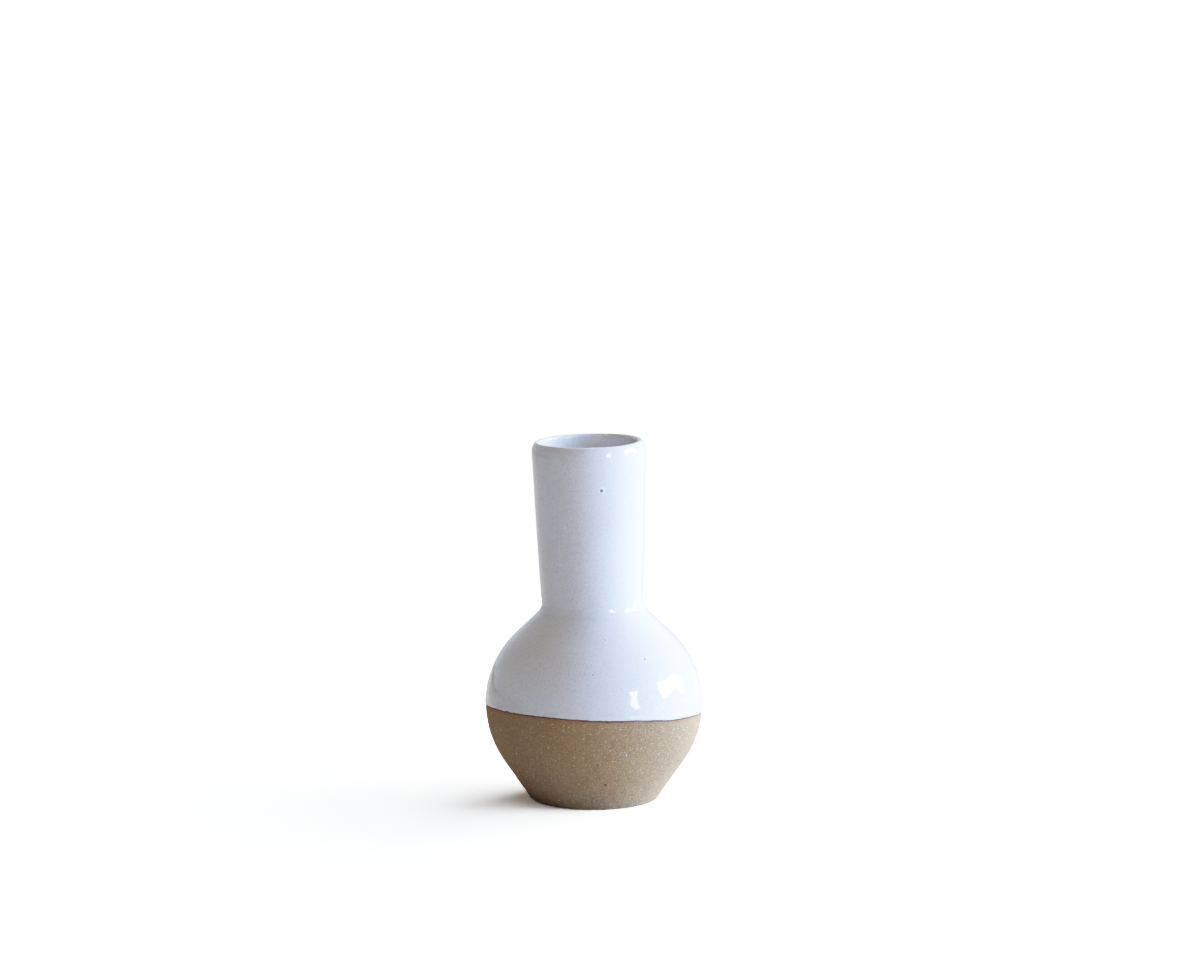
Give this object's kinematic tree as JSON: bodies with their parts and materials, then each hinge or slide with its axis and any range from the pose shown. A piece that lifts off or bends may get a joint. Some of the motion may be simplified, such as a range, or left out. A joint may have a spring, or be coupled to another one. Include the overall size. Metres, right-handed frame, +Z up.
{
  "type": "bud vase",
  "caption": "Small stoneware bud vase with a round belly, tall slightly leaning neck and a white dip glaze that leaves the lower clay bare.",
  "frame": {"origin": "centre of the foot, on the surface that the vase stands on", "axes": "+Z up along the belly's axis, -Y towards the viewer, and the neck leans 1.3 degrees towards -X"},
  "size_m": [0.088, 0.088, 0.1458],
  "materials": {
    "bare_stoneware": "unglazed, matte, sandy with pale grog",
    "white_glaze": "glossy white with fine specks and pinholes"
  },
  "bodies": {
    "root": {"stoneware_body": "bare_stoneware", "outer_glaze": "white_glaze", "liner_glaze": "white_glaze"}
  },
  "joints": []
}
